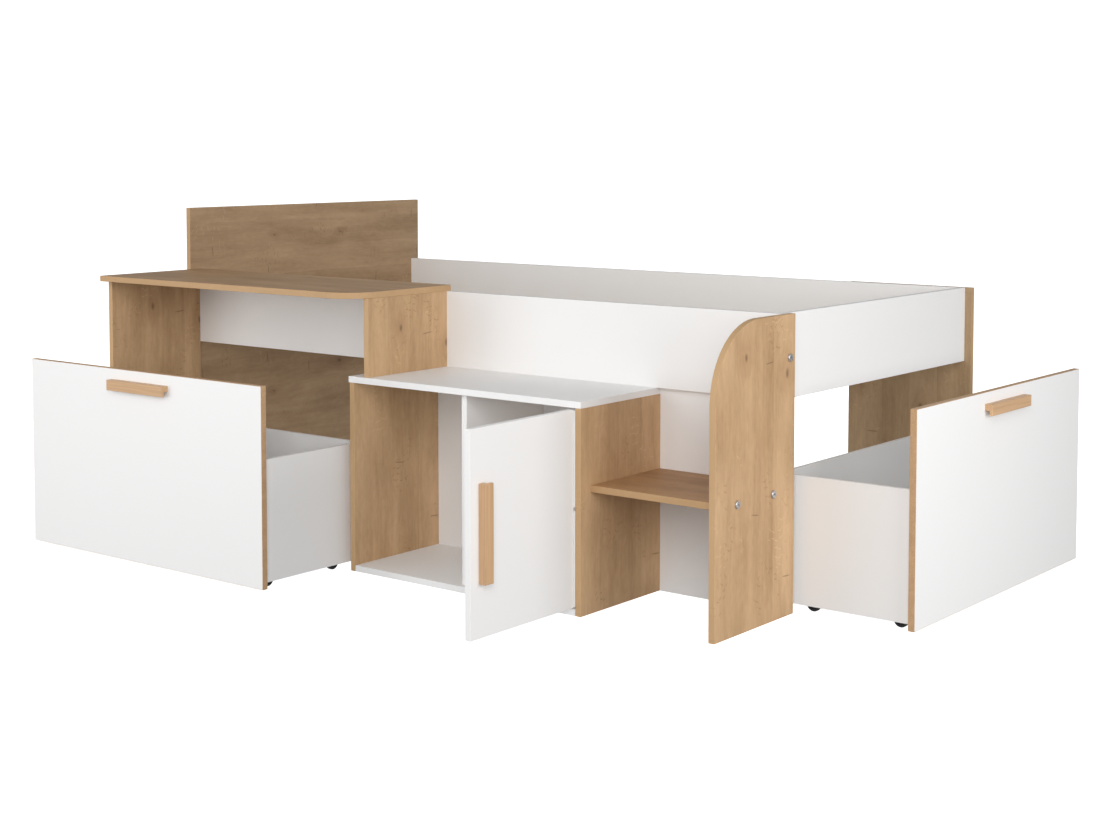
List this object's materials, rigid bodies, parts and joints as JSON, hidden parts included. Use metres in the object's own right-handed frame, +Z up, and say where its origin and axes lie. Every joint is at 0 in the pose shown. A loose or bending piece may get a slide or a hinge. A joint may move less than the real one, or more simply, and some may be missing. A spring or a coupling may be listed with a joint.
{
  "type": "cabin bed",
  "caption": "Low cabin bed with a raised mattress well, a fixed desk top, a cupboard with a hinged door, an open shelf nook and rolling drawers under the desk and the foot end.",
  "frame": {"origin": "on the floor, under the middle of the bounding box with the drawers and the door open as modelled", "axes": "+X from the headboard to the foot end, +Y from the desk side to the back, +Z up"},
  "size_m": [2.3854, 1.648, 0.898],
  "materials": {
    "oak_board": "matt light oak melamine",
    "white_board": "matt white melamine",
    "oak_handle": "plain light oak, satin",
    "oak_edging": "light oak edge band",
    "slat_wood": "bare softwood",
    "dowel_wood": "bare hardwood",
    "bolt_steel": "zinc plated",
    "screw_steel": "zinc plated",
    "hinge_steel": "white lacquer",
    "castor_plastic": "black, matt",
    "castor_steel": "zinc plated",
    "catch_plastic": "white"
  },
  "bodies": {
    "bed_frame": {"headboard": "oak_board", "front_foot_panel": "oak_board", "back_foot_panel": "oak_board", "desk_top": "oak_board", "desk_left_side": "oak_board", "desk_right_side": "oak_board", "cupboard_left_side": "oak_board", "cupboard_right_side": "oak_board", "nook_shelf": "oak_board", "front_rail": "white_board", "back_rail": "white_board", "foot_rail": "white_board", "cupboard_top": "white_board", "cupboard_base": "white_board", "cupboard_back": "white_board", "cupboard_divider": "white_board", "nook_back": "white_board", "front_cleat": "slat_wood", "back_cleat": "slat_wood", "slats": "slat_wood", "frame_bolts": "bolt_steel", "barrel_nuts": "bolt_steel", "dowels": "dowel_wood", "support_screws": "screw_steel", "hinge_side_leaves": "hinge_steel", "hinge_screws": "screw_steel", "hinge_pins": "hinge_steel", "magnet_catch": "catch_plastic"},
    "cupboard_door": {"door_panel": "white_board", "door_handle": "oak_handle", "door_screws": "screw_steel", "door_hinge_leaves": "hinge_steel", "door_strike_plate": "hinge_steel"},
    "left_drawer": {"left_drawer_front": "white_board", "left_drawer_edging": "oak_edging", "left_drawer_handle": "oak_handle", "left_drawer_side_walls": "white_board", "left_drawer_rear_wall": "white_board", "left_drawer_bottom": "white_board", "left_drawer_screws": "screw_steel", "left_drawer_castor_forks": "castor_plastic", "left_drawer_castor_axles": "castor_steel"},
    "left_wheel_1": {"left_drawer_wheel_1": "castor_plastic"},
    "left_wheel_2": {"left_drawer_wheel_2": "castor_plastic"},
    "left_wheel_3": {"left_drawer_wheel_3": "castor_plastic"},
    "left_wheel_4": {"left_drawer_wheel_4": "castor_plastic"},
    "right_drawer": {"right_drawer_front": "white_board", "right_drawer_edging": "oak_edging", "right_drawer_handle": "oak_handle", "right_drawer_side_walls": "white_board", "right_drawer_rear_wall": "white_board", "right_drawer_bottom": "white_board", "right_drawer_screws": "screw_steel", "right_drawer_castor_forks": "castor_plastic", "right_drawer_castor_axles": "castor_steel"},
    "right_wheel_1": {"right_drawer_wheel_1": "castor_plastic"},
    "right_wheel_2": {"right_drawer_wheel_2": "castor_plastic"},
    "right_wheel_3": {"right_drawer_wheel_3": "castor_plastic"},
    "right_wheel_4": {"right_drawer_wheel_4": "castor_plastic"}
  },
  "joints": [
    {"name": "cupboard_door_hinge", "type": "hinge", "parent": "bed_frame", "child": "cupboard_door", "pos_m": [0.48275, -0.459, 0.25], "axis": [0, 0, 1], "range_deg": [-90, 80]},
    {"name": "left_drawer_roll", "type": "slide", "parent": "bed_frame", "child": "left_drawer", "axis": [0, -1, 0], "range_m": [-0.298, 0.08]},
    {"name": "left_wheel_1_spin", "type": "hinge", "parent": "left_drawer", "child": "left_wheel_1", "pos_m": [-1.10725, -0.7015, 0.018], "axis": [1, 0, 0], "continuous": true},
    {"name": "left_wheel_2_spin", "type": "hinge", "parent": "left_drawer", "child": "left_wheel_2", "pos_m": [-0.28725, -0.7015, 0.018], "axis": [1, 0, 0], "continuous": true},
    {"name": "left_wheel_3_spin", "type": "hinge", "parent": "left_drawer", "child": "left_wheel_3", "pos_m": [-1.10725, -0.4765, 0.018], "axis": [1, 0, 0], "continuous": true},
    {"name": "left_wheel_4_spin", "type": "hinge", "parent": "left_drawer", "child": "left_wheel_4", "pos_m": [-0.28725, -0.4765, 0.018], "axis": [1, 0, 0], "continuous": true},
    {"name": "right_drawer_roll", "type": "slide", "parent": "bed_frame", "child": "right_drawer", "axis": [1, 0, 0], "range_m": [-0.307, 0.06]},
    {"name": "right_wheel_1_spin", "type": "hinge", "parent": "right_drawer", "child": "right_wheel_1", "pos_m": [1.11875, -0.0745, 0.018], "axis": [0, 1, 0], "continuous": true},
    {"name": "right_wheel_2_spin", "type": "hinge", "parent": "right_drawer", "child": "right_wheel_2", "pos_m": [1.11875, 0.7545, 0.018], "axis": [0, 1, 0], "continuous": true},
    {"name": "right_wheel_3_spin", "type": "hinge", "parent": "right_drawer", "child": "right_wheel_3", "pos_m": [0.89375, -0.0745, 0.018], "axis": [0, 1, 0], "continuous": true},
    {"name": "right_wheel_4_spin", "type": "hinge", "parent": "right_drawer", "child": "right_wheel_4", "pos_m": [0.89375, 0.7545, 0.018], "axis": [0, 1, 0], "continuous": true}
  ],
  "couplings": [
    {"joint": "left_wheel_1_spin", "follows": "left_drawer_roll", "rad_per_m": 55.556},
    {"joint": "left_wheel_2_spin", "follows": "left_drawer_roll", "rad_per_m": 55.556},
    {"joint": "left_wheel_3_spin", "follows": "left_drawer_roll", "rad_per_m": 55.556},
    {"joint": "left_wheel_4_spin", "follows": "left_drawer_roll", "rad_per_m": 55.556},
    {"joint": "right_wheel_1_spin", "follows": "right_drawer_roll", "rad_per_m": 55.556},
    {"joint": "right_wheel_2_spin", "follows": "right_drawer_roll", "rad_per_m": 55.556},
    {"joint": "right_wheel_3_spin", "follows": "right_drawer_roll", "rad_per_m": 55.556},
    {"joint": "right_wheel_4_spin", "follows": "right_drawer_roll", "rad_per_m": 55.556}
  ]
}
